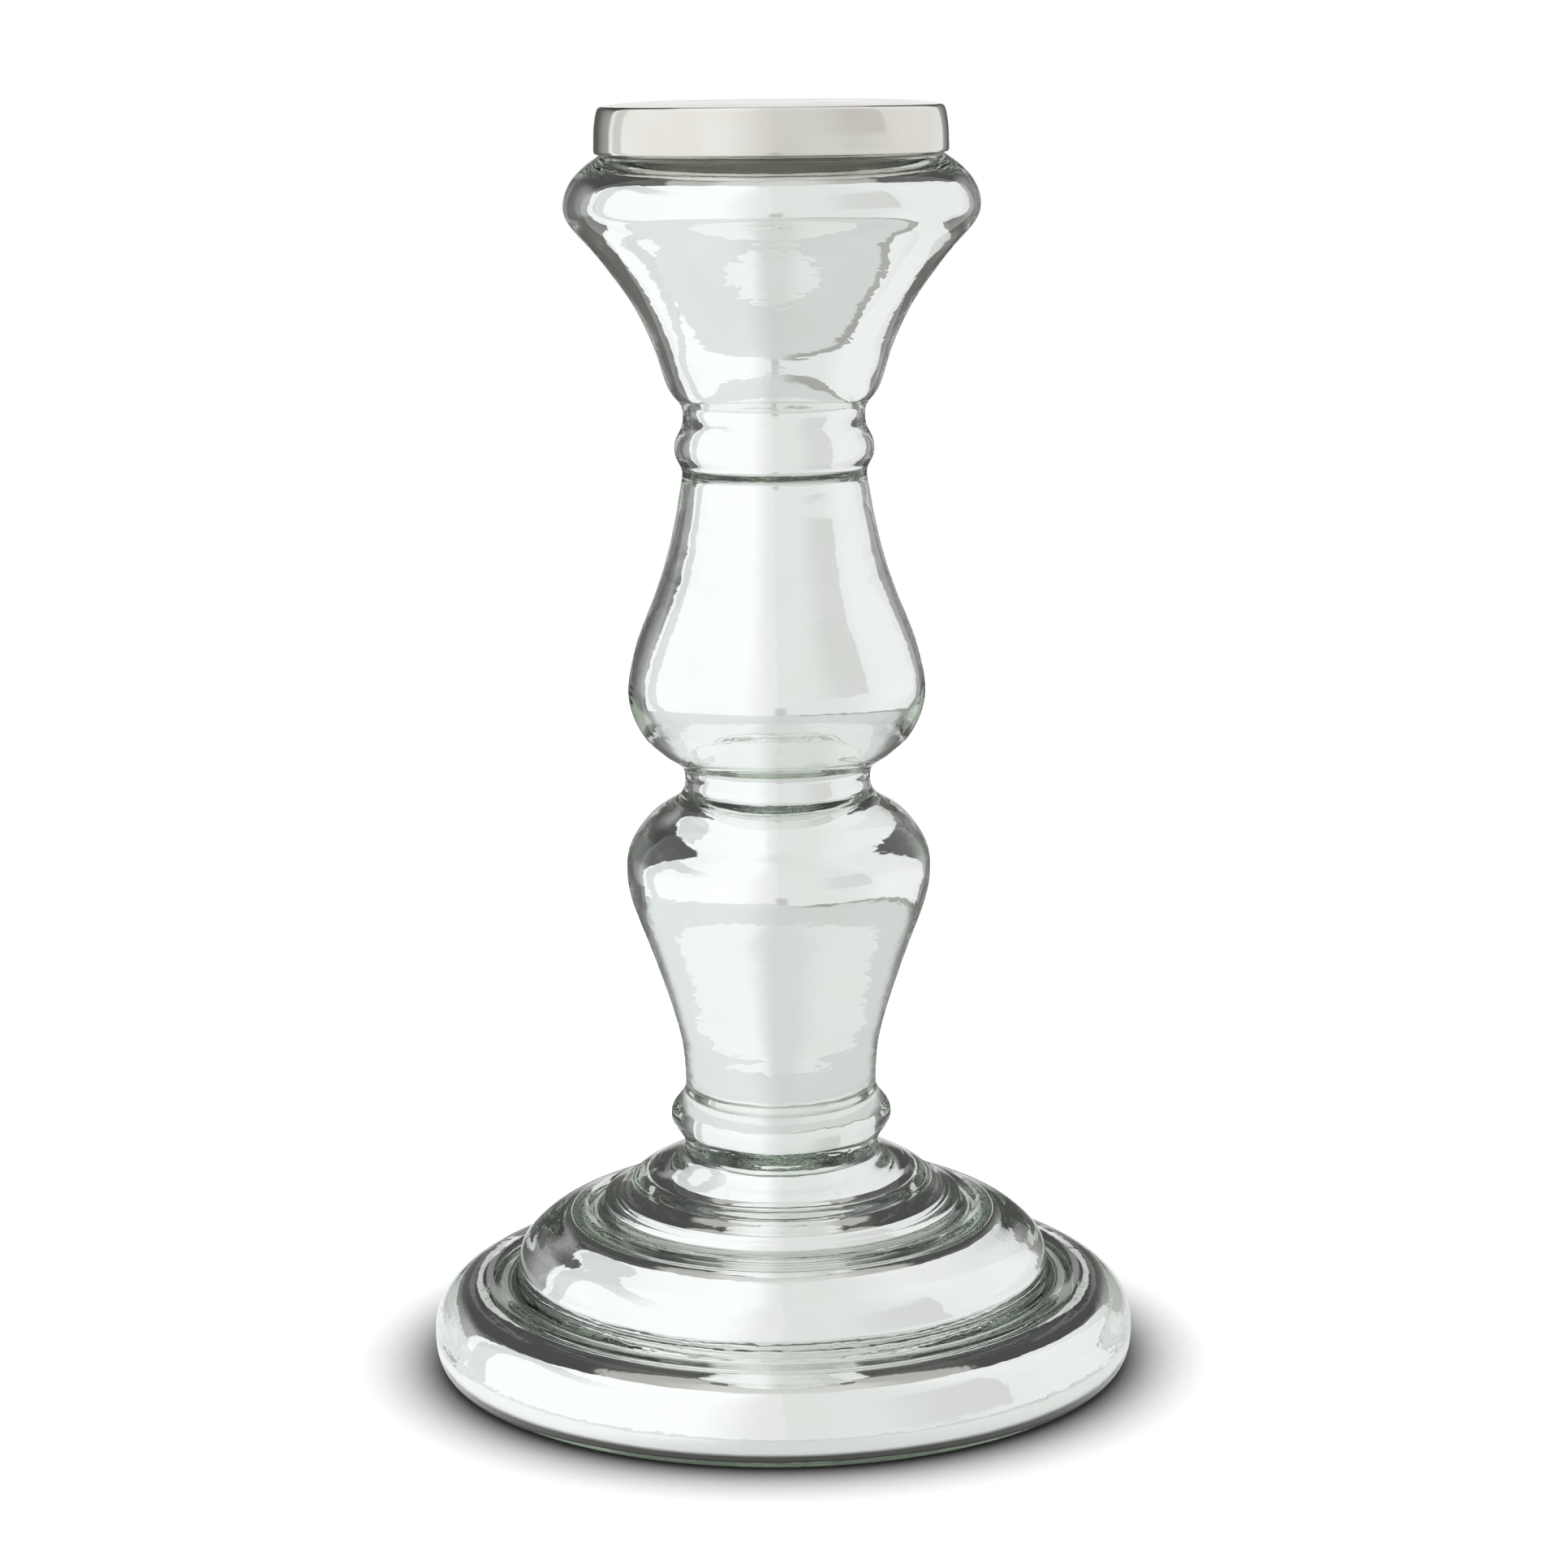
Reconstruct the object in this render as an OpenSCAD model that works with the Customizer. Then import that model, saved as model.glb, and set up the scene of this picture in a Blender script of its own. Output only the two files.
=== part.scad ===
// Pillar candlestick in silvered glass: a mould-blown hollow baluster, silvered on its
// inner wall, with a pressed nickel cap cemented over its mouth to carry the candle.
// Origin: centre of the foot, on the table. +Z is up.

/* [Overall] */
// Height from the table to the cap's top edge
total_h = 305; // [296:1:314]

/* [Base] */
// Widest radius of the bottom ring
base_r = 86.1; // [84:0.1:90]
// Outer radius of the rim that rests on the table
rest_r = 82.6; // [80:0.1:83.2]
// Widest radius of the middle ring
step2_r = 65.1; // [63:0.1:67]
// Widest radius of the upper ring
step3_r = 44.1; // [42.5:0.1:45.5]
// Rise of the pushed-up underside at its centre
punt_h = 5; // [2:0.5:8]

/* [Stem] */
// Radius of the pinch above the base
foot_neck_r = 23.6; // [22.6:0.1:24.5]
// Radius of the solid glass bead at the stem's foot
low_bead_r = 27; // [25.5:0.1:29]
// Widest radius of the vase-shaped lower stem
vase_r = 36.9; // [34:0.1:40]
// Radius of the neck between the two bulbs
mid_neck_r = 22.4; // [21:0.1:24]
// Widest radius of the pear-shaped upper stem
pear_r = 35.9; // [33:0.1:39]
// Radius of the pinch below the upper bead
top_neck_r = 22.1; // [21:0.1:23]
// Radius of the bead under the cup
top_bead_r = 23.9; // [23.2:0.1:26]

/* [Cup] */
// Widest radius of the cup
cup_r = 49.3; // [47:0.1:52]
// Outer radius of the ground mouth, hidden in the cap
mouth_r = 38.8; // [38:0.1:39.2]

/* [Glass] */
// Wall thickness of the bulbs, where the glass is blown thinnest
wall = 2.6; // [2:0.1:3.2]
// Wall thickness of the necks
neck_wall = 3; // [2.4:0.1:3.6]
// Thickness of the silver and its backing coat
lining_t = 0.3; // [0.2:0.05:0.6]

/* [Cap] */
// Radius of the cap at its lower edge
cap_r = 41.8; // [41.4:0.1:43]
// Height of the cap's side
cap_h = 11; // [9:0.5:11]
// Rise of the cap's top above its edge
crown_h = 1.3; // [0.6:0.1:2]
// Radius of the flat seat in the middle of the cap
seat_r = 20; // [12:1:26]
// Thickness of the cap's sheet metal
sheet_t = 1; // [0.8:0.1:1.2]

/* [Hidden] */
$fn = 96;

// Heights of the mouldings are those of a 305 mm stick.
lift = total_h / 305;
cap_z = total_h - cap_h;
lip_z = total_h - 2.8;
lip_in_r = mouth_r - 3.2;
bead_in_r = foot_neck_r - neck_wall - 0.2;
top_in_r = top_neck_r - neck_wall;

// A station on an outline is [radius, height, heading, pull]. The heading is in degrees,
// 0 outwards and 90 up, and the pull sets how far the curve keeps to it.
function heading(s) = [cos(s[2]), sin(s[2])];
function at(s) = [s[0], s[1]];

// Cubic curve from station a to station b, without its end point
function span(a, b, steps) =
    let(
        p0 = at(a),
        p3 = at(b),
        reach = norm(p3 - p0) / 3,
        p1 = p0 + heading(a) * reach * a[3],
        p2 = p3 - heading(b) * reach * b[3]
    )
    [for (i = [0 : steps - 1])
        let(t = i / steps, u = 1 - t)
        u * u * u * p0 + 3 * u * u * t * p1 + 3 * u * t * t * p2 + t * t * t * p3];

function outline(stations, steps) = concat(
    [for (i = [0 : len(stations) - 2]) each span(stations[i], stations[i + 1], steps)],
    [at(stations[len(stations) - 1])]
);

// An outline moved sideways by d, towards the left of its direction of travel
function unit(v) = v / norm(v);
function shifted(pts, d) = [
    for (i = [0 : len(pts) - 1])
    let(
        last = len(pts) - 1,
        along = unit(pts[min(i + 1, last)] - pts[max(i - 1, 0)])
    )
    pts[i] + d * [-along[1], along[0]]
];

function backwards(pts) = [for (i = [len(pts) - 1 : -1 : 0]) pts[i]];
function raised(stations) = [for (s = stations) [s[0], s[1] * lift, s[2], s[3]]];

// Outside of the glass, from the rest rim up to the mouth
base_outside = [
    [rest_r, 0, 8, 1],
    [base_r - 0.9, 2.4, 66, 1],
    [base_r, 8.9, 90, 1.2],
    [base_r - 5.4, 18.1, 146, 1],
    [base_r - 13.0, 21.2, 180, 0.8],
    [step2_r + 2.9, 19.9, 180, 1],
    [step2_r + 0.2, 22.5, 85, 1],
    [step2_r, 25.8, 90, 1.1],
    [step2_r - 5.5, 33.3, 140, 0.6],
    [step3_r + 4.1, 38.3, 180, 0.7],
    [step3_r + 1.7, 37.4, 180, 1],
    [step3_r, 39.7, 90, 1],
    [step3_r - 5.9, 44, 138, 1.6],
    [foot_neck_r + 7, 49.2, 152, 1.5],
    [foot_neck_r, 53.9, 90, 1.1]
];
stem_outside = [
    [low_bead_r, 61.4, 90, 1.15],
    [foot_neck_r - 0.3, 68.7, 90, 0.95],
    [foot_neck_r + 0.1, 76.9, 84, 0.75],
    [vase_r - 6.5, 100.5, 71, 1.4],
    [vase_r, 123.3, 90, 1],
    [vase_r - 5.8, 135.8, 132, 1.35],
    [mid_neck_r, 144.8, 90, 1.4],
    [mid_neck_r + 5.1, 151, 35, 1.45],
    [pear_r, 166.4, 90, 0.6],
    [pear_r - 3.9, 182.5, 113, 1.1],
    [top_neck_r, 217.9, 99, 1.35],
    [top_bead_r, 224.6, 90, 1.45],
    [top_neck_r - 0.4, 232.3, 90, 1.5]
];
cup_outside = [
    [top_neck_r + 3.5, 240.2, 71, 1.6],
    [top_neck_r + 6.4, 249.1, 68, 1.1],
    [cup_r - 12.7, 263.9, 53, 1.05],
    [cup_r - 4.7, 273.8, 46, 1.2],
    [cup_r, 281.8, 90, 0.95],
    [cup_r - 4.6, 290.9, 138, 1.2],
    [mouth_r + 1.6, 294.1, 140, 0.9],
    [mouth_r, 296.4, 90, 1]
];

// Inside of the glass, softer than the mould it was blown in. The glass is thick where
// the mould pinches it: in the grooves between the rings, behind the low bead, at the
// mouldings of the necks and under the cap.
base_inside = [
    [0, punt_h + 2.6, 0, 1.4],
    [rest_r - 14, punt_h * 0.3 + 2.2, -8, 1],
    [rest_r - 1.6, 2, 3, 0.9],
    [base_r - wall, 5.4, 90, 1.1],
    [base_r - 6.7, 16, 142, 1],
    [base_r - 12.2, 18.3, 174, 0.9],
    [step2_r + 2.6, 15.3, 190, 1.1],
    [step2_r - 2.9, 22.6, 89, 1.1],
    [step2_r - 7.7, 31.0, 141, 0.9],
    [step3_r + 6.8, 35.3, 170, 0.9],
    [step3_r + 1.6, 32.7, 190, 1],
    [step3_r - 3, 38.2, 90, 1.1],
    [step3_r - 7.8, 42.3, 134, 1],
    [foot_neck_r + 9, 43.8, 168, 0.9],
    [foot_neck_r + 4.8, 46.2, 138, 1],
    [bead_in_r, 56, 92, 1.1]
];
stem_inside = [
    [bead_in_r, 68.5, 90, 1],
    [foot_neck_r - neck_wall + 0.4, 77, 84, 0.75],
    [vase_r - 9.1, 101.2, 71, 1.4],
    [vase_r - wall, 123.1, 90, 1],
    [vase_r - 9.4, 134.0, 130, 1.2],
    [mid_neck_r - neck_wall - 0.8, 146.4, 90, 1.5],
    [mid_neck_r + 2.6, 153.3, 40, 1.3],
    [pear_r - wall, 166.8, 90, 0.75],
    [pear_r - 6.7, 182.1, 113, 1.1],
    [top_in_r, 216.8, 93, 1.2],
    [top_in_r + 1.2, 220.4, 62, 1],
    [top_bead_r - 3.4, 225, 92, 1],
    [top_in_r - 0.7, 233.8, 88, 1.2]
];
cup_inside = [
    [top_neck_r - 0.8, 239.2, 62, 1.1],
    [top_neck_r + 3.5, 251, 66, 1.1],
    [cup_r - 15.4, 265.9, 55, 1.05],
    [cup_r - 6.4, 278.3, 53, 1],
    [cup_r - wall - 1.8, 281.6, 90, 0.9],
    [cup_r - 6.8, 287.2, 137, 1.1],
    [lip_in_r + 2.4, 290.1, 152, 1],
    [lip_in_r, 295, 90, 1]
];

curve_steps = 5;
outside = outline(raised(concat(base_outside, stem_outside, cup_outside)), curve_steps);
inside = outline(raised(concat(base_inside, stem_inside, cup_inside)), curve_steps);

// Underside: a shallow push-up that meets the table on a narrow rim
punt = outline([[0, punt_h, 0, 1.6], [rest_r - 5.2, 0, -10, 0.8]], 8);

// Cap: its side bulges slightly, its top edge is crisp, and its top is a low crown
cap_side = outline([
    [cap_r - 0.5, cap_z, 0, 1],
    [cap_r, cap_z + 0.5, 90, 1],
    [cap_r - 0.9, total_h - 0.7, 107, 1],
    [cap_r - 1.5, total_h - 0.05, 170, 1]
], 5);
crown = outline([
    [cap_r - 1.5, total_h, 170, 1],
    [seat_r, total_h + crown_h, 180, 1]
], 8);
cap_outside = concat(cap_side, crown);
crown_under = [for (p = crown) if (p[0] < cap_r - 2.2) p - [0, sheet_t]];
cap_inside = concat(
    [[cap_r - sheet_t, cap_z], [cap_r - sheet_t - 0.8, total_h - sheet_t - 0.6]],
    crown_under
);
seat_z = total_h + crown_h;

module glass_body() {
    color([0.82, 0.88, 0.86, 0.35])
        rotate_extrude()
            polygon(concat(
                punt,
                outside,
                [[mouth_r, lip_z], [lip_in_r, lip_z]],
                backwards(inside)
            ));
}

module silver_lining() {
    color([0.86, 0.88, 0.87])
        rotate_extrude()
            polygon(concat(
                inside,
                [[lip_in_r, lip_z - 1], [lip_in_r - lining_t, lip_z - 1]],
                [for (p = backwards(shifted(inside, lining_t))) [max(p[0], 0), p[1]]]
            ));
}

// Clear cement between the ground mouth and the underside of the cap
module cement_ring() {
    under = [for (p = backwards(crown_under)) p];
    cement_in_r = lip_in_r + 0.4;
    cement_out_r = mouth_r - 0.2;
    color([0.9, 0.9, 0.86])
        rotate_extrude()
            polygon(concat(
                [[cement_in_r, lip_z], [cement_out_r, lip_z], [cement_out_r, lookup(cement_out_r, under)]],
                [for (p = crown_under) if (p[0] > cement_in_r && p[0] < cement_out_r) p],
                [[cement_in_r, lookup(cement_in_r, under)]]
            ));
}

module candle_cap() {
    color([0.78, 0.77, 0.73])
        rotate_extrude()
            polygon(concat(
                cap_outside,
                [[0, seat_z], [0, seat_z - sheet_t]],
                backwards(cap_inside)
            ));
}

glass_body();
silver_lining();
cement_ring();
candle_cap();
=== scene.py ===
"""Silvered-glass pillar candlestick: a blown clear baluster with a mirror on its inner wall
and a polished nickel cap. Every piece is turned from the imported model's own section."""
import math

import bmesh
import bpy
import numpy as np
from mathutils import Matrix, Vector, noise


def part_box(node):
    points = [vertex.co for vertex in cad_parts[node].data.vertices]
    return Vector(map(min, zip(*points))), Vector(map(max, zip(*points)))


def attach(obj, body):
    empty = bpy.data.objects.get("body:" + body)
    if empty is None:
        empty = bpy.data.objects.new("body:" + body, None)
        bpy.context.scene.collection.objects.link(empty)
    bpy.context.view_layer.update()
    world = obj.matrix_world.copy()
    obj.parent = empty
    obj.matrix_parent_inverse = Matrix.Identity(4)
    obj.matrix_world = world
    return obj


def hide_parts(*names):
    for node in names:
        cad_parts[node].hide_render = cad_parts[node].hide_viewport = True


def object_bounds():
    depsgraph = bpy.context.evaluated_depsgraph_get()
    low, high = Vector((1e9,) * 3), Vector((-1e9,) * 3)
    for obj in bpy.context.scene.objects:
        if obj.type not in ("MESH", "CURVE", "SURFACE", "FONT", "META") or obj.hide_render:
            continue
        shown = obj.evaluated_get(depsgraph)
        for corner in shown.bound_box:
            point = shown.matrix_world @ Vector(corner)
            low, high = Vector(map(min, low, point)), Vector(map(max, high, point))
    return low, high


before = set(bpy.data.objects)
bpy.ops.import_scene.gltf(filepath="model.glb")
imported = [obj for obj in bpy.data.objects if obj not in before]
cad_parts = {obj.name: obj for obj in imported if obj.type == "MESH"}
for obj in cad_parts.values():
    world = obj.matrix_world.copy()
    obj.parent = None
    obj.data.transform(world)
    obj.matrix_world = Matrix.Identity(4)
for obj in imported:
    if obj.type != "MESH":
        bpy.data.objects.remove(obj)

CAD_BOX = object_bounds()
MM = 0.001

# ---------------------------------------------------------------- sections and turned pieces

SEGMENTS = 192          # around the axis
CORNER = 35             # a section turns more sharply than this, in degrees, only at a real edge
FINE_STEP = 0.1 * MM    # spacing of the smooth section before its rings are picked
ON_AXIS = 0.05 * MM     # a point nearer to the axis than this lies on it
SAME_POINT = 0.02 * MM  # points of a section nearer together than this are one
TINY = 1e-6             # slack for points that lie on a plane or on the axis, 0.001 mm
SOFTEN = 0.4 * MM       # an outline is rounded over this length between its real edges
BEND_SPAN = 15          # fine points on each side over which the bend is averaged
BEND_SIZE = 12 * MM     # a bend of this radius gets (1 + BEND_GAIN) times as many rings
BEND_POWER = 0.6
BEND_GAIN = 1.6


def to_axis(points):
    """An open outline with one point on the axis at each end. A flat face has none of its own
    there, so it is carried on to the axis."""
    while points[1, 0] < ON_AXIS:
        points = points[1:]
    while points[-2, 0] < ON_AXIS:
        points = points[:-1]
    for end in (0, -1):
        if points[end, 0] < ON_AXIS:
            points[end, 0] = 0.0
        else:
            stop = [[0.0, points[end, 1]]]
            points = np.vstack([stop, points] if end == 0 else [points, stop])
    return points


def section(node):
    """The node's outline in the half plane y = 0, x >= 0, as points (r, z) in order. Where the
    node meets the axis, the outline starts and ends on it, from the lower end."""
    bm = bmesh.new()
    bm.from_mesh(node.data)
    bmesh.ops.remove_doubles(bm, verts=bm.verts, dist=TINY)
    cut = bmesh.ops.bisect_plane(
        bm, geom=bm.verts[:] + bm.edges[:] + bm.faces[:], dist=1e-7,
        plane_co=(0, 0, 0), plane_no=(0, 1, 0))["geom_cut"]
    near = {}
    for e in cut:
        if isinstance(e, bmesh.types.BMEdge) and min(v.co.x for v in e.verts) > -TINY:
            a, b = e.verts
            near.setdefault(a, []).append(b)
            near.setdefault(b, []).append(a)
    loose = [v for v in near if len(near[v]) == 1]
    here = min(loose or near, key=lambda v: (v.co.z, v.co.x))
    seen, chain = {here}, [here]
    while True:
        ahead = [v for v in near[here] if v not in seen]
        if not ahead:
            break
        here = ahead[0]
        seen.add(here)
        chain.append(here)
    points = np.array([(max(v.co.x, 0.0), v.co.z) for v in chain])
    bm.free()
    keep = [0]
    for i in range(1, len(points)):
        if np.linalg.norm(points[i] - points[keep[-1]]) > SAME_POINT:
            keep.append(i)
    return to_axis(points[keep]) if loose else points[keep]


def corners(points):
    """Indices where an outline has a real edge, its two ends included."""
    ahead = np.diff(points, axis=0)
    way = np.unwrap(np.arctan2(ahead[:, 1], ahead[:, 0]))
    turn = np.degrees(np.abs(np.diff(way)))
    return [0] + [i + 1 for i in range(len(turn)) if turn[i] > CORNER] + [len(points) - 1]


def bend(t, y):
    """Second derivatives of the natural cubic spline through the values y at t."""
    n = len(t)
    h = np.diff(t)
    a, b = np.eye(n), np.zeros(n)
    for i in range(1, n - 1):
        a[i, i - 1:i + 2] = h[i - 1], 2 * (h[i - 1] + h[i]), h[i]
        b[i] = 6 * ((y[i + 1] - y[i]) / h[i] - (y[i] - y[i - 1]) / h[i - 1])
    return np.linalg.solve(a, b)


def eased(points, soften):
    """One smooth stretch of outline, resampled finely and rounded over a length of soften."""
    t = np.concatenate([[0], np.cumsum(np.linalg.norm(np.diff(points, axis=0), axis=1))])
    count = max(int(t[-1] / FINE_STEP), 2)
    u = np.linspace(0, t[-1], count + 1)
    if len(points) < 3:
        return np.stack([np.interp(u, t, points[:, k]) for k in (0, 1)], axis=1)
    i = np.clip(np.searchsorted(t, u) - 1, 0, len(t) - 2)
    h, a, b = t[i + 1] - t[i], t[i + 1] - u, u - t[i]
    fine = []
    for k in (0, 1):
        y, m = points[:, k], bend(t, points[:, k])
        fine.append(m[i] * a**3 / (6 * h) + m[i + 1] * b**3 / (6 * h)
                    + (y[i] / h - m[i] * h / 6) * a + (y[i + 1] / h - m[i + 1] * h / 6) * b)
    fine = np.stack(fine, axis=1)
    reach = int(2.5 * soften / FINE_STEP)
    if reach < 2 or count < 3 * reach:
        return fine
    weight = np.exp(-0.5 * (np.arange(-reach, reach + 1) * FINE_STEP / soften) ** 2)
    weight /= weight.sum()
    before = 2 * fine[0] - fine[reach:0:-1]
    after = 2 * fine[-1] - fine[-2:-reach - 2:-1]
    padded = np.vstack([before, fine, after])
    return np.stack([np.convolve(padded[:, k], weight, "valid") for k in (0, 1)], axis=1)


def rings(fine, count):
    """count points of a fine outline, closer together where it curves."""
    step = np.linalg.norm(np.diff(fine, axis=0), axis=1)
    way = np.unwrap(np.arctan2(*np.diff(fine, axis=0).T[::-1]))
    curve = np.abs(np.gradient(way)) / np.maximum(step, 1e-9)
    window = np.ones(2 * BEND_SPAN + 1) / (2 * BEND_SPAN + 1)
    curve = np.convolve(np.pad(curve, BEND_SPAN, "edge"), window, "valid")
    density = step * (1 + BEND_GAIN * (curve * BEND_SIZE) ** BEND_POWER)
    along = np.concatenate([[0], np.cumsum(density)])
    at = np.interp(np.linspace(0, along[-1], count), along, np.arange(len(fine)))
    return np.stack([np.interp(at, np.arange(len(fine)), fine[:, k]) for k in (0, 1)], axis=1)


def turned_outline(points, budget, soften=SOFTEN):
    """An outline made of smooth stretches between its real edges, none of it under the foot.
    budget rings are shared out among the stretches by length."""
    cut = corners(points)
    stretches = [eased(points[a:b + 1], soften) for a, b in zip(cut[:-1], cut[1:])]
    lengths = [length_of(s) for s in stretches]
    picked = []
    for stretch, length in zip(stretches, lengths):
        count = max(3, round(budget * length / sum(lengths)))
        part = rings(stretch, count + 1)
        picked.append(part if not picked else part[1:])
    outline = np.vstack(picked)
    outline[:, 1] = np.maximum(outline[:, 1], CAD_BOX[0].z)
    return outline


def length_of(outline):
    return np.linalg.norm(np.diff(outline, axis=0), axis=1).sum()


def edge_normals(outline):
    """Unit normals of an outline, pointing to the right of its direction of travel."""
    way = np.gradient(outline, axis=0)
    way /= np.linalg.norm(way, axis=1)[:, None]
    return np.stack([way[:, 1], -way[:, 0]], axis=1)


def lathe(name, outline, shift=None, closed=False):
    """A mesh turned from an outline. shift(points, s) says how far the points of one ring move
    along their normals, where s is the ring's distance along the outline."""
    s = np.concatenate([[0], np.cumsum(np.linalg.norm(np.diff(outline, axis=0), axis=1))])
    normal = edge_normals(outline)
    angle = np.arange(SEGMENTS) * 2 * math.pi / SEGMENTS
    cos, sin = np.cos(angle), np.sin(angle)
    bm = bmesh.new()
    loops = []
    for (r, z), (nr, nz), here in zip(outline, normal, s):
        if r < TINY:
            lift = 0.0 if shift is None else nz * shift(np.array([[0.0, 0.0, z]]), here)[0]
            loops.append([bm.verts.new((0, 0, z + lift))] * SEGMENTS)
            continue
        points = np.stack([r * cos, r * sin, np.full(SEGMENTS, z)], axis=1)
        if shift is not None:
            out = np.stack([nr * cos, nr * sin, np.full(SEGMENTS, nz)], axis=1)
            points += out * shift(points, here)[:, None]
            points[:, 2] = np.maximum(points[:, 2], CAD_BOX[0].z)
        loops.append([bm.verts.new(p) for p in points])
    pairs = list(zip(loops[:-1], loops[1:]))
    if closed:
        pairs.append((loops[-1], loops[0]))
    for a, b in pairs:
        for i in range(SEGMENTS):
            j = (i + 1) % SEGMENTS
            corner = []
            for v in (a[i], a[j], b[j], b[i]):
                if v not in corner:
                    corner.append(v)
            if len(corner) > 2:
                bm.faces.new(corner)
    bmesh.ops.recalc_face_normals(bm, faces=bm.faces)
    for face in bm.faces:
        face.smooth = True
    for edge in bm.edges:
        if len(edge.link_faces) == 2 and edge.calc_face_angle(0) > math.radians(CORNER):
            edge.smooth = False
    mesh = bpy.data.meshes.new(name)
    bm.to_mesh(mesh)
    bm.free()
    piece = bpy.data.objects.new(name, mesh)
    bpy.context.scene.collection.objects.link(piece)
    return piece


# ---------------------------------------------------------------- node materials

class Tree:
    """Adds nodes to a node tree. An input may be a number, a tuple or another node's output."""

    def __init__(self, tree):
        self.tree = tree
        tree.nodes.clear()

    def add(self, kind, inputs=None, **settings):
        node = self.tree.nodes.new(kind)
        for key, value in settings.items():
            setattr(node, key, value)
        for key, value in (inputs or {}).items():
            if isinstance(value, bpy.types.NodeSocket):
                self.tree.links.new(value, node.inputs[key])
            else:
                node.inputs[key].default_value = value
        return node

    def math(self, operation, a, b=0.0):
        return self.add("ShaderNodeMath", {0: a, 1: b}, operation=operation).outputs[0]

    def ease(self, value, low, high, to_low=0.0, to_high=1.0):
        """to_low at or below low, to_high at or above high, and between them in between."""
        return self.add("ShaderNodeMapRange",
                        {"Value": value, "From Min": low, "From Max": high,
                         "To Min": to_low, "To Max": to_high},
                        interpolation_type="SMOOTHSTEP", clamp=True).outputs["Result"]

    def mix(self, share, a, b):
        node = self.add("ShaderNodeMix", {0: share}, data_type="RGBA")
        for key, value in ((6, a), (7, b)):
            if isinstance(value, bpy.types.NodeSocket):
                self.tree.links.new(value, node.inputs[key])
            else:
                node.inputs[key].default_value = (*value, 1.0)
        return node.outputs[2]

    def place(self, stretch=(1, 1, 1)):
        coordinates = self.add("ShaderNodeTexCoord").outputs["Object"]
        return self.add("ShaderNodeMapping",
                        {"Vector": coordinates, "Scale": stretch}).outputs["Vector"]

    def noise(self, where, size, detail=2.0, rough=0.5, twist=0.0):
        """Noise from 0 to 1 whose lumps are about size across."""
        return self.add("ShaderNodeTexNoise",
                        {"Vector": where, "Scale": 1 / size, "Detail": detail,
                         "Roughness": rough, "Distortion": twist}).outputs["Fac"]

    def bump(self, height, depth, normal=None):
        inputs = {"Height": height, "Distance": depth, "Strength": 1.0}
        if normal is not None:
            inputs["Normal"] = normal
        return self.add("ShaderNodeBump", inputs).outputs["Normal"]

    def output(self, surface, volume=None, kind="ShaderNodeOutputMaterial"):
        sockets = {"Surface": surface}
        if volume is not None:
            sockets["Volume"] = volume
        self.add(kind, sockets)


def new_material(name):
    material = bpy.data.materials.new(name)
    material.use_nodes = True
    return material, Tree(material.node_tree)


def clear_glass():
    """Thick soda glass: clear face on, olive where it's seen edge on."""
    material, t = new_material("clear_glass")
    where = t.place()
    smear = t.ease(t.noise(where, 18 * MM, detail=4), 0.45, 0.75)
    tint = t.mix(smear, (1.0, 1.0, 1.0), (0.975, 0.985, 0.97))
    surface = t.add("ShaderNodeBsdfPrincipled", {
        "Base Color": tint, "IOR": 1.5, "Transmission Weight": 1.0,
        "Roughness": t.ease(smear, 0, 1, 0.0, 0.004),
        "Normal": t.bump(t.noise(where, 9 * MM), 0.02 * MM)})
    body = t.add("ShaderNodeVolumeAbsorption",
                 {"Color": (0.62, 0.71, 0.61, 1.0), "Density": 11.0})
    t.output(surface.outputs[0], body.outputs[0])
    return material


def silvering():
    """The mirror on the inner wall, with the fine ripple of the blown glass it lies on."""
    material, t = new_material("silvering")
    where = t.place()
    cloud = t.noise(where, 25 * MM, detail=5)
    colour = t.mix(t.ease(cloud, 0.35, 0.7), (0.955, 0.96, 0.955), (0.925, 0.93, 0.92))
    ripple = t.noise(t.place((1, 1, 2.2)), 9 * MM, detail=2, twist=0.4)
    grain = t.noise(t.place((1, 1, 1.5)), 3.5 * MM, detail=1)
    normal = t.bump(ripple, 0.06 * MM, normal=t.bump(grain, 0.012 * MM))
    surface = t.add("ShaderNodeBsdfPrincipled", {
        "Base Color": colour, "Metallic": 1.0,
        "Roughness": t.ease(cloud, 0.4, 0.75, 0.004, 0.016), "Normal": normal})
    t.output(surface.outputs[0])
    return material


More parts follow.
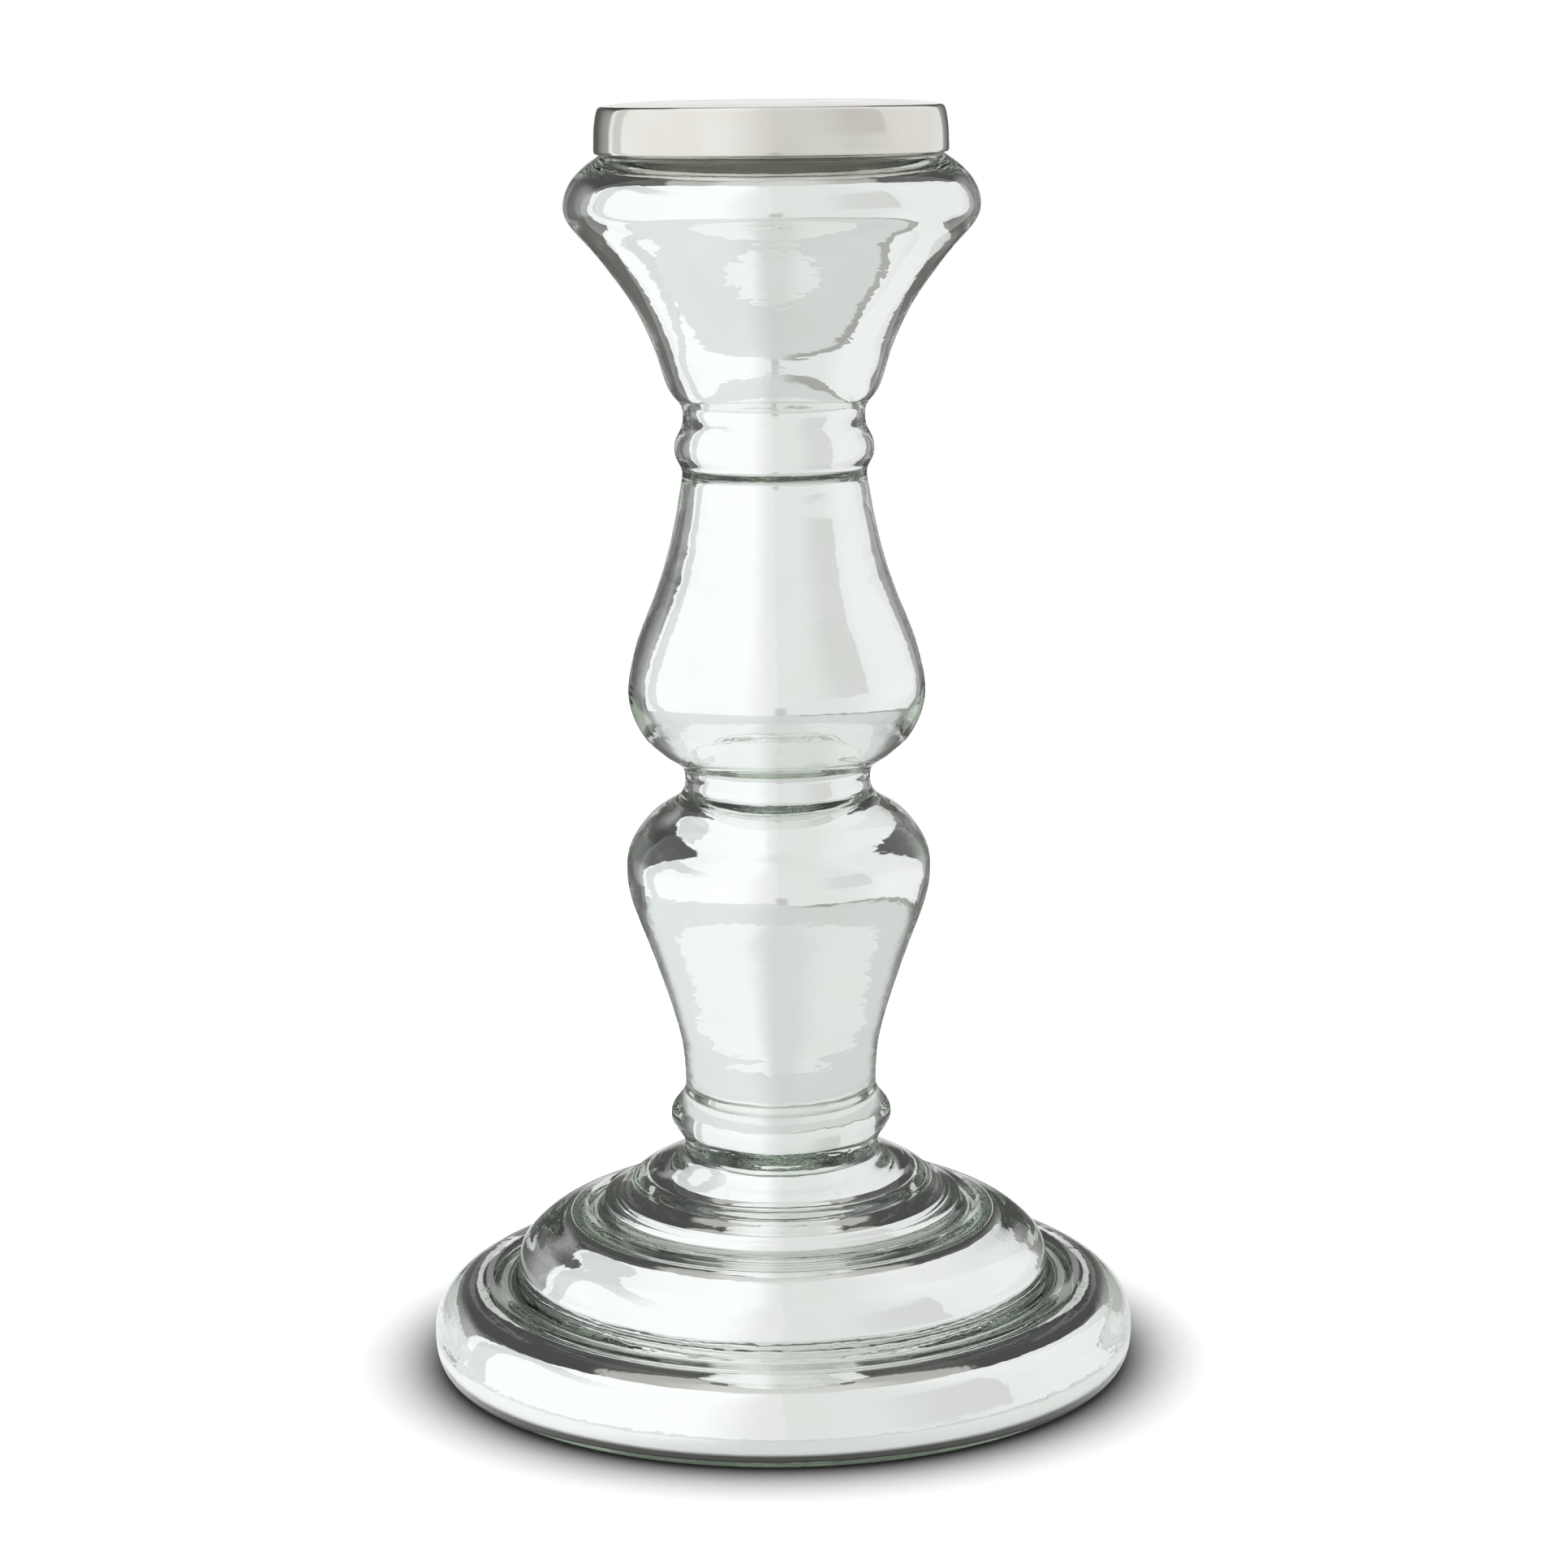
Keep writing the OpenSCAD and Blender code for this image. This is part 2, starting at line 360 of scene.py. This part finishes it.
def nickel(cap_box):
    """Buffed nickel plate: faint buffing rings, a few hairlines, and brighter worn edges."""
    material, t = new_material("nickel")
    where = t.place()
    x, y, z = (t.add("ShaderNodeSeparateXYZ", {0: where}).outputs[k] for k in range(3))
    radius = t.math("SQRT", t.math("ADD", t.math("MULTIPLY", x, x), t.math("MULTIPLY", y, y)))
    turned = t.add("ShaderNodeCombineXYZ", {"X": radius, "Z": z}).outputs[0]
    buffing = t.noise(turned, 0.35 * MM, detail=3, rough=0.7)
    cloud = t.noise(where, 14 * MM, detail=4)
    hairline = t.ease(t.noise(t.place((1, 14, 14)), 5 * MM, detail=3), 0.66, 0.72)
    rim = t.ease(z, cap_box[1].z - 2.6 * MM, cap_box[1].z - 1.4 * MM)
    worn = t.math("MULTIPLY", rim, t.ease(radius, cap_box[1].x - 2.6 * MM, cap_box[1].x - 1.6 * MM))
    colour = t.mix(t.ease(cloud, 0.3, 0.75), (0.775, 0.75, 0.705), (0.735, 0.705, 0.655))
    colour = t.mix(worn, colour, (0.84, 0.82, 0.79))
    rough = t.math("ADD", t.ease(cloud, 0.3, 0.75, 0.05, 0.11),
                   t.math("MULTIPLY", t.math("ADD", hairline, buffing), 0.04))
    normal = t.bump(buffing, 0.0016 * MM, normal=t.bump(cloud, 0.05 * MM))
    surface = t.add("ShaderNodeBsdfPrincipled", {
        "Base Color": colour, "Metallic": 1.0, "Roughness": rough, "Normal": normal})
    t.output(surface.outputs[0])
    return material


def cement():
    """Clear yellowish cement with trapped bubbles."""
    material, t = new_material("cement")
    where = t.place()
    cloud = t.noise(where, 4 * MM, detail=4)
    bubbles = t.ease(t.add("ShaderNodeTexVoronoi", {"Vector": where, "Scale": 900.0}).outputs[0],
                     0.1, 0.3)
    colour = t.mix(cloud, (0.80, 0.78, 0.66), (0.66, 0.62, 0.46))
    surface = t.add("ShaderNodeBsdfPrincipled", {
        "Base Color": colour, "Subsurface Weight": 0.3,
        "Subsurface Radius": (0.004, 0.003, 0.002),
        "Roughness": t.ease(cloud, 0.3, 0.7, 0.25, 0.5),
        "Normal": t.bump(bubbles, 0.1 * MM, normal=t.bump(cloud, 0.3 * MM))})
    t.output(surface.outputs[0])
    return material


def floor_white():
    """Matt white, with a contact shadow painted into its colour where the foot meets it."""
    material, t = new_material("floor_white")
    cloud = t.noise(t.place(), 60 * MM, detail=6)
    # Painted contact shadow: the colour darkens towards black where little open sky reaches the
    # floor near the foot.
    open_sky = t.add("ShaderNodeAmbientOcclusion", {"Distance": 32 * MM}, samples=16).outputs["AO"]
    painted_contact_shadow = t.math("POWER", open_sky, 3.0)
    white = t.mix(cloud, (0.93, 0.93, 0.925), (0.91, 0.91, 0.905))
    surface = t.add("ShaderNodeBsdfPrincipled", {
        "Base Color": t.mix(painted_contact_shadow, (0.05, 0.05, 0.05), white),
        "Roughness": t.ease(cloud, 0.3, 0.7, 0.55, 0.7), "Specular IOR Level": 0.0,
        "Normal": t.bump(t.noise(t.place(), 3 * MM), 0.05 * MM)})
    t.output(surface.outputs[0])
    return material


# ---------------------------------------------------------------- the glass and its lining

WALL_WAVE = 0.10 * MM      # long waves of the blown wall
WALL_RIPPLE = 0.035 * MM   # chill ripples that run round it
FOOT_CHILL = 0.012 * MM    # small lumps where the mould chilled the foot
BEAD_CHILL = 0.045 * MM    # and the bead at the stem's foot
CUP_CALM = 0.8             # how much of the waves is gone in the thicker cup
OUTSIDE_WAVE = 0.035 * MM  # the moulded outside is much truer
OUTSIDE_SINK = 0.4         # and mostly lies under its true shape
EMBED = 0.03 * MM          # the silver's face is keyed into the wall by this much

# Rings of each part of the outlines
OUTSIDE_RINGS, LIP_RINGS, INSIDE_RINGS = 300, 4, 210
FACE_RINGS, BACK_RINGS = 400, 80
CAP_RINGS, CEMENT_RINGS = 150, 30
CAP_SOFTEN = 0.05 * MM     # pressed metal has crisper edges than glass


def smooth(value, low, high):
    """From 0 at low to 1 at high."""
    share = min(1.0, max(0.0, (value - low) / (high - low)))
    return share * share * (3 - 2 * share)


def wall_shift(points, s):
    """How far the blown inner wall lies off its true shape, at points on one ring."""
    out = []
    for p in points:
        p = Vector(p)
        long_wave = noise.noise(p / (34 * MM))
        round_wave = noise.noise(Vector((p.x / (22 * MM), p.y / (22 * MM), s / (7 * MM))))
        calm = 1 - CUP_CALM * smooth(p.z, 240 * MM, 262 * MM)
        chill = noise.noise(p / (8 * MM) + Vector((5, 1, 3)))
        bead = smooth(p.z, 50 * MM, 56 * MM) * (1 - smooth(p.z, 68 * MM, 78 * MM))
        foot = 1 - smooth(p.z, 44 * MM, 56 * MM)
        out.append(calm * (WALL_WAVE * long_wave + WALL_RIPPLE * round_wave)
                   + (FOOT_CHILL * foot + BEAD_CHILL * bead) * chill)
    return np.array(out)


def outside_shift(points, s):
    """How far the moulded outside lies off its true shape."""
    return np.array([OUTSIDE_WAVE * (noise.noise(Vector(p) / (45 * MM)) - OUTSIDE_SINK)
                     for p in points])


def blown_glass(points):
    """The glass: its outside from the underside's centre to the mouth, then the inner wall."""
    mouth = int(np.argmax(points[:, 1]))
    if points[mouth, 0] < points[mouth - 1, 0] - 1 * MM:
        mouth -= 1
    lip = mouth + 1
    outside = turned_outline(points[:mouth + 1], OUTSIDE_RINGS)
    lip_flat = turned_outline(points[mouth:lip + 1], LIP_RINGS)
    inside = turned_outline(points[lip:], INSIDE_RINGS)
    s_lip = length_of(outside) + length_of(lip_flat)
    s_all = s_lip + length_of(inside)

    def shift(ring, s):
        return outside_shift(ring, s) if s <= s_lip else -wall_shift(ring, s_all - s)

    return lathe("glass_body_blown", np.vstack([outside, lip_flat[1:], inside[1:]]), shift)


def mirror_lining(points):
    """The lining: its face follows the same inner wall from the floor up to the lip."""
    top = int(np.argmax(points[:, 1] * 10 + points[:, 0]))
    face = turned_outline(points[:top + 1], FACE_RINGS)
    back = turned_outline(points[top + 1:], BACK_RINGS)
    s_face = length_of(face)

    def shift(ring, s):
        return wall_shift(ring, s) + EMBED if s <= s_face + 1e-9 else np.zeros(len(ring))

    return lathe("silver_lining_mirror", np.vstack([face, back]), shift)


def cement_bed(points):
    """The cement, whose outline is a closed loop off the axis."""
    loop = turned_outline(np.vstack([points, points[:1]]), CEMENT_RINGS)[:-1]
    return lathe("cement_bed", loop, closed=True)


def build():
    outline = {name: section(node) for name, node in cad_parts.items()}
    glass = blown_glass(outline["glass_body"])
    lining = mirror_lining(outline["silver_lining"])
    cap = lathe("candle_cap_buffed",
                turned_outline(outline["candle_cap"], CAP_RINGS, soften=CAP_SOFTEN))
    ring = cement_bed(outline["cement_ring"])
    for piece, node, slot, material in (
            (glass, "glass_body", "clear_glass", clear_glass()),
            (lining, "silver_lining", "silvering", silvering()),
            (cap, "candle_cap", "nickel", nickel(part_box("candle_cap"))),
            (ring, "cement_ring", "cement", cement())):
        piece.data.materials.append(material)
        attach(piece, "root")
        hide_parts(node)


# ---------------------------------------------------------------- studio

# Directions are in degrees. Azimuth is 0 towards the camera and positive to its right.
# Each edge lists (elevation, azimuth): how far round a wall of the tent reaches there.
LEFT_EDGE = ((-40, 152), (-15, 130), (0, 129), (15, 128), (30, 124), (45, 114), (60, 102),
             (75, 70), (84, 0))
RIGHT_EDGE = ((0, 147), (15, 144), (30, 133), (45, 120), (60, 105), (75, 72), (84, 0))

BIG_LIGHT = (1.06, 1.08, 1.085)        # the left wall, lit from behind
BESIDE_CAMERA = (0.865, 0.875, 0.87)   # the left wall where it ends at the camera
RIGHT_NEAR = (0.815, 0.84, 0.825)
RIGHT_FAR = (0.92, 0.935, 0.93)
LIGHT_FRAME = (0.78, 0.80, 0.80)
LIGHT_CENTRE = (-56, -5)               # of the large light, azimuth and elevation
LIGHT_HALF = (47, 29)                  # half its width and height, less its rounded corners
LIGHT_CORNER = (9.2, 9.9)              # the corners' radius, and where the frame is full
FRAME_WIDTH = 21                       # the frame's outer radius at the corners
SLIT = (0.55, 0.56, 0.55)
SLIT_SHARE = 0.85
DIM_PANEL = (0.72, 0.73, 0.715)
ROOF = (0.74, 0.75, 0.73)
BEHIND_LEFT = ((0.42, 0.425, 0.42), (0.115, 0.115, 0.11))    # at the wall's end, farther round
BEHIND_RIGHT = ((0.38, 0.38, 0.37), (0.10, 0.10, 0.095))
BEHIND_HIGH = (0.075, 0.077, 0.075)
BEIGE_WALL = (0.50, 0.49, 0.465)
BEIGE_ROOF = (0.70, 0.70, 0.68)
BEHIND_LOW = (0.16, 0.16, 0.15)
BACKDROP = (0.92, 0.92, 0.92)
FILL = (1.55, 1.55, 1.55)              # even light on matt surfaces
PAPER_WHITE = (1.0, 1.0, 1.0)          # what the camera itself sees past the table


def edge_of(t, el, stops):
    """How far round a wall reaches, in degrees, at an elevation: stops are (elevation, reach)."""
    curve = t.add("ShaderNodeFloatCurve", {"Value": t.math("DIVIDE", el, 90.0)})
    line = curve.mapping.curves[0]
    points = [(-1.0, stops[0][1] / 180)] + [(e / 90, a / 180) for e, a in stops]
    curve.mapping.clip_min_x = -1.0
    while len(line.points) < len(points):
        line.points.new(0.5, 0.5)
    for place, point in zip(line.points, points):
        place.location = point
        place.handle_type = "VECTOR"
    curve.mapping.update()
    return t.math("MULTIPLY", curve.outputs[0], 180.0)


def light_frame(t, az, el):
    """The large light's grey frame, a rounded rectangle."""
    across = t.math("SUBTRACT", t.math("ABSOLUTE", t.math("SUBTRACT", az, LIGHT_CENTRE[0])),
                    LIGHT_HALF[0])
    up = t.math("SUBTRACT", t.math("ABSOLUTE", t.math("SUBTRACT", el, LIGHT_CENTRE[1])),
                LIGHT_HALF[1])
    corner = t.math("SQRT", t.math("ADD", t.math("POWER", t.math("MAXIMUM", across, 0.0), 2.0),
                                   t.math("POWER", t.math("MAXIMUM", up, 0.0), 2.0)))
    band = t.math("MULTIPLY", t.ease(corner, *LIGHT_CORNER),
                  t.ease(corner, FRAME_WIDTH, FRAME_WIDTH - 1))
    return t.math("MULTIPLY", band, t.ease(az, -60, -100))


def side_walls(t, az, el):
    """The tent's two walls, which meet at the camera, and its roof."""
    left = t.mix(t.ease(az, -34, -2), BIG_LIGHT, BESIDE_CAMERA)
    right = t.mix(t.ease(az, 50, 100), RIGHT_NEAR, RIGHT_FAR)
    wall = t.mix(t.ease(az, -0.8, 0.8), left, right)
    wall = t.mix(light_frame(t, az, el), wall, LIGHT_FRAME)
    # The slit between the two walls, low down
    slit = t.math("MULTIPLY", t.math("MULTIPLY", t.ease(az, -4, 0), t.ease(az, 9, 5)),
                  t.math("MULTIPLY", t.ease(el, -44, -38), t.ease(el, -8, -16)))
    wall = t.mix(t.math("MULTIPLY", slit, SLIT_SHARE), wall, SLIT)
    # A slightly dimmer panel in the right wall
    panel = t.math("MULTIPLY", t.math("MULTIPLY", t.ease(az, 25, 60), t.ease(az, 80, 78.6)),
                   t.math("MULTIPLY", t.ease(el, 1, 5), t.ease(el, 44, 36)))
    wall = t.mix(panel, wall, DIM_PANEL)
    return t.mix(t.ease(el, 72, 84), wall, ROOF)


def behind_object(t, az, el):
    """The dark room behind the object, a beige wall high up, and the white backdrop."""
    dark_left = t.mix(t.ease(az, -132, -156), *BEHIND_LEFT)
    dark_right = t.mix(t.ease(az, 146, 167), *BEHIND_RIGHT)
    behind = t.mix(t.ease(az, -0.5, 0.5), dark_left, dark_right)
    behind = t.mix(t.ease(el, 8, 22), behind, BEHIND_HIGH)
    behind = t.mix(t.ease(el, 54, 58), behind, BEIGE_WALL)
    behind = t.mix(t.ease(el, 66, 78), behind, BEIGE_ROOF)
    behind = t.mix(t.ease(el, -8, -18), behind, BEHIND_LOW)
    round_az = t.math("ABSOLUTE", az)
    wide = t.math("MULTIPLY", t.ease(round_az, 169, 174), t.ease(el, 10, 3))
    tall = t.math("MULTIPLY", t.ease(round_az, 174, 175.5), t.ease(el, 26, 20))
    return t.mix(t.math("MAXIMUM", wide, tall), behind, BACKDROP)


def studio():
    """A pale tent: a large soft light on the left, a dimmer wall on the right, each ending
    behind the object in darkness, and a white backdrop straight behind."""
    world = bpy.data.worlds.new("studio")
    bpy.context.scene.world = world
    world.use_nodes = True
    t = Tree(world.node_tree)
    way = t.add("ShaderNodeTexCoord").outputs["Generated"]
    x, y, z = (t.add("ShaderNodeSeparateXYZ", {0: way}).outputs[k] for k in range(3))
    degrees = 180 / math.pi
    az = t.math("MULTIPLY", t.math("ARCTAN2", x, t.math("MULTIPLY", y, -1.0)), degrees)
    el = t.math("MULTIPLY", t.math("ARCSINE", z), degrees)

    past_left = t.ease(t.math("SUBTRACT", t.math("MULTIPLY", az, -1.0),
                              edge_of(t, el, LEFT_EDGE)), -1, 1)
    past_right = t.ease(t.math("SUBTRACT", az, edge_of(t, el, RIGHT_EDGE)), -1, 1)
    room = t.mix(t.math("MAXIMUM", past_left, past_right),
                 side_walls(t, az, el), behind_object(t, az, el))

    ray = t.add("ShaderNodeLightPath").outputs
    even = t.mix(ray["Is Diffuse Ray"], room, FILL)
    seen = t.mix(ray["Is Camera Ray"], even, PAPER_WHITE)
    light = t.add("ShaderNodeBackground", {"Color": seen, "Strength": 1.0})
    t.output(light.outputs[0], kind="ShaderNodeOutputWorld")


TABLE_R = 0.29                         # round white table
BOARD_R = 0.155                        # thin white board in its middle, under the stick
CONTACT_R = (0.0860, 0.0830)           # the contact shadow painted under the foot, from clear to full

# The sheet's painted colours: its left side is painted brighter, as if lit by the large light.
BOARD_MIDDLE = (0.725, 0.75, 0.735)
BOARD_LEFT = (0.97, 0.99, 0.99)
BOARD_RIGHT = (0.81, 0.835, 0.82)
TABLE_MIDDLE = (0.675, 0.69, 0.68)
TABLE_LEFT = (0.81, 0.85, 0.86)
TABLE_RIGHT = (0.69, 0.715, 0.70)
TABLE_GAP = (0.40, 0.40, 0.38)
PAINTED_REAR_SHADE = (0.20, 0.20, 0.19)
PAINTED_CONTACT_SHADOW = (0.05, 0.05, 0.045)


def table_glow():
    """A glowing sheet, no lamp, that paints what the silver sees of the table: a white board, a
    cooler table round it, painted brighter on the side of the large light, a painted dark gap past
    its edge on the other side, painted shade towards the rear, and a painted contact shadow under
    the foot."""
    material, t = new_material("table_glow")
    where = t.place()
    x, y = (t.add("ShaderNodeSeparateXYZ", {0: where}).outputs[k] for k in range(2))
    radius = t.math("SQRT", t.math("ADD", t.math("MULTIPLY", x, x), t.math("MULTIPLY", y, y)))
    board = t.mix(t.ease(x, -0.010, -0.065), BOARD_MIDDLE, BOARD_LEFT)
    board = t.mix(t.ease(x, 0.02, 0.09), board, BOARD_RIGHT)
    table = t.mix(t.ease(x, 0.02, -0.12), TABLE_MIDDLE, TABLE_LEFT)
    table = t.mix(t.ease(x, -0.002, 0.10), table, TABLE_RIGHT)
    colour = t.mix(t.ease(radius, BOARD_R - 0.001, BOARD_R + 0.001), board, table)
    gap = t.math("MULTIPLY", t.ease(radius, TABLE_R - 0.012, TABLE_R + 0.002),
                 t.ease(x, 0.02, 0.16))
    colour = t.mix(gap, colour, TABLE_GAP)
    # Painted shade towards the rear of the table, past the board.
    rear = t.math("MULTIPLY", t.ease(y, 0.15, 0.24), t.ease(radius, BOARD_R, BOARD_R + 0.02))
    colour = t.mix(rear, colour, PAINTED_REAR_SHADE)
    # Painted contact shadow under the foot, as the silver sees it.
    colour = t.mix(t.ease(radius, *CONTACT_R), colour, PAINTED_CONTACT_SHADOW)
    glow = t.add("ShaderNodeEmission", {"Color": colour, "Strength": 1.0})
    t.output(glow.outputs[0])
    return material


def painted_dark_card():
    """A dark glowing disc over the cup, mottled like cloth, which only light that comes out of the
    glass sees: painted shade in the glass.
    """
    material, t = new_material("painted_dark_card")
    cloth = t.noise(t.place(), 20 * MM, detail=4)
    glow = t.add("ShaderNodeEmission", {
        "Color": t.mix(cloth, (0.10, 0.10, 0.09), (0.17, 0.165, 0.15)), "Strength": 1.0})
    t.output(glow.outputs[0])
    return material


FLOOR_R = 1.2
FLOOR_DROP = 0.02 * MM                 # under the foot
GLOW_DROP = 0.03 * MM
FLAG_R = 0.075
FLAG_BACK = 0.045                      # behind the axis
FLAG_UP = 0.075                        # over the cap


def disc(name, radius, place, material):
    """A flat round sheet that belongs to the stage."""
    bm = bmesh.new()
    bmesh.ops.create_circle(bm, cap_ends=True, segments=128, radius=radius)
    mesh = bpy.data.meshes.new(name)
    bm.to_mesh(mesh)
    bm.free()
    sheet = bpy.data.objects.new(name, mesh)
    sheet.location = place
    bpy.context.scene.collection.objects.link(sheet)
    sheet.data.materials.append(material)
    return sheet


def floor():
    """The table top that the camera sees, with its painted contact shadow, the glowing sheet that
    paints what the silver sees of it, and the flag that paints shade seen through the glass.
    """
    bottom, top = CAD_BOX[0].z, CAD_BOX[1].z
    seen = disc("table_top", FLOOR_R, (0, 0, bottom - FLOOR_DROP), floor_white())
    seen.visible_glossy = seen.visible_transmission = False
    glow = disc("table_glow", TABLE_R + 0.03, (0, 0, bottom - GLOW_DROP), table_glow())
    glow.visible_camera = glow.visible_diffuse = glow.visible_shadow = False
    # The flag paints shade into what is seen through the glass; no other ray sees it.
    flag = disc("flag", FLAG_R, (0, FLAG_BACK, top + FLAG_UP), painted_dark_card())
    flag.visible_camera = flag.visible_diffuse = flag.visible_shadow = False
    flag.visible_glossy = False


# ---------------------------------------------------------------- camera

CAMERA_BACK = 0.90858      # from the axis
CAMERA_UP = 0.31247        # above the table
CAMERA_DIP = 10.5634       # degrees below level
CAMERA_SIDE = 0.0015       # to the right of the axis
CAMERA_ROLL = -0.58        # degrees
SENSOR = 36                # mm
IMAGE = 1932               # pixels across
FOCUS = 4700               # focal length in the same pixels


def camera():
    data = bpy.data.cameras.new("camera")
    data.sensor_width = SENSOR
    data.lens = SENSOR * FOCUS / IMAGE
    data.clip_start = 0.01
    eye = bpy.data.objects.new("camera", data)
    bpy.context.scene.collection.objects.link(eye)
    turn = Matrix.Rotation(math.radians(90 - CAMERA_DIP), 4, "X")
    roll = Matrix.Rotation(math.radians(CAMERA_ROLL), 4, "Z")
    eye.matrix_world = Matrix.Translation((CAMERA_SIDE, -CAMERA_BACK, CAMERA_UP)) @ turn @ roll
    bpy.context.scene.camera = eye


def light_paths():
    """Light is passed on many times inside the thick glass."""
    cycles = bpy.context.scene.cycles
    cycles.max_bounces = 32
    cycles.glossy_bounces = cycles.transmission_bounces = 24


build()
studio()
floor()
camera()
light_paths()
bpy.context.scene.view_settings.view_transform = "Standard"
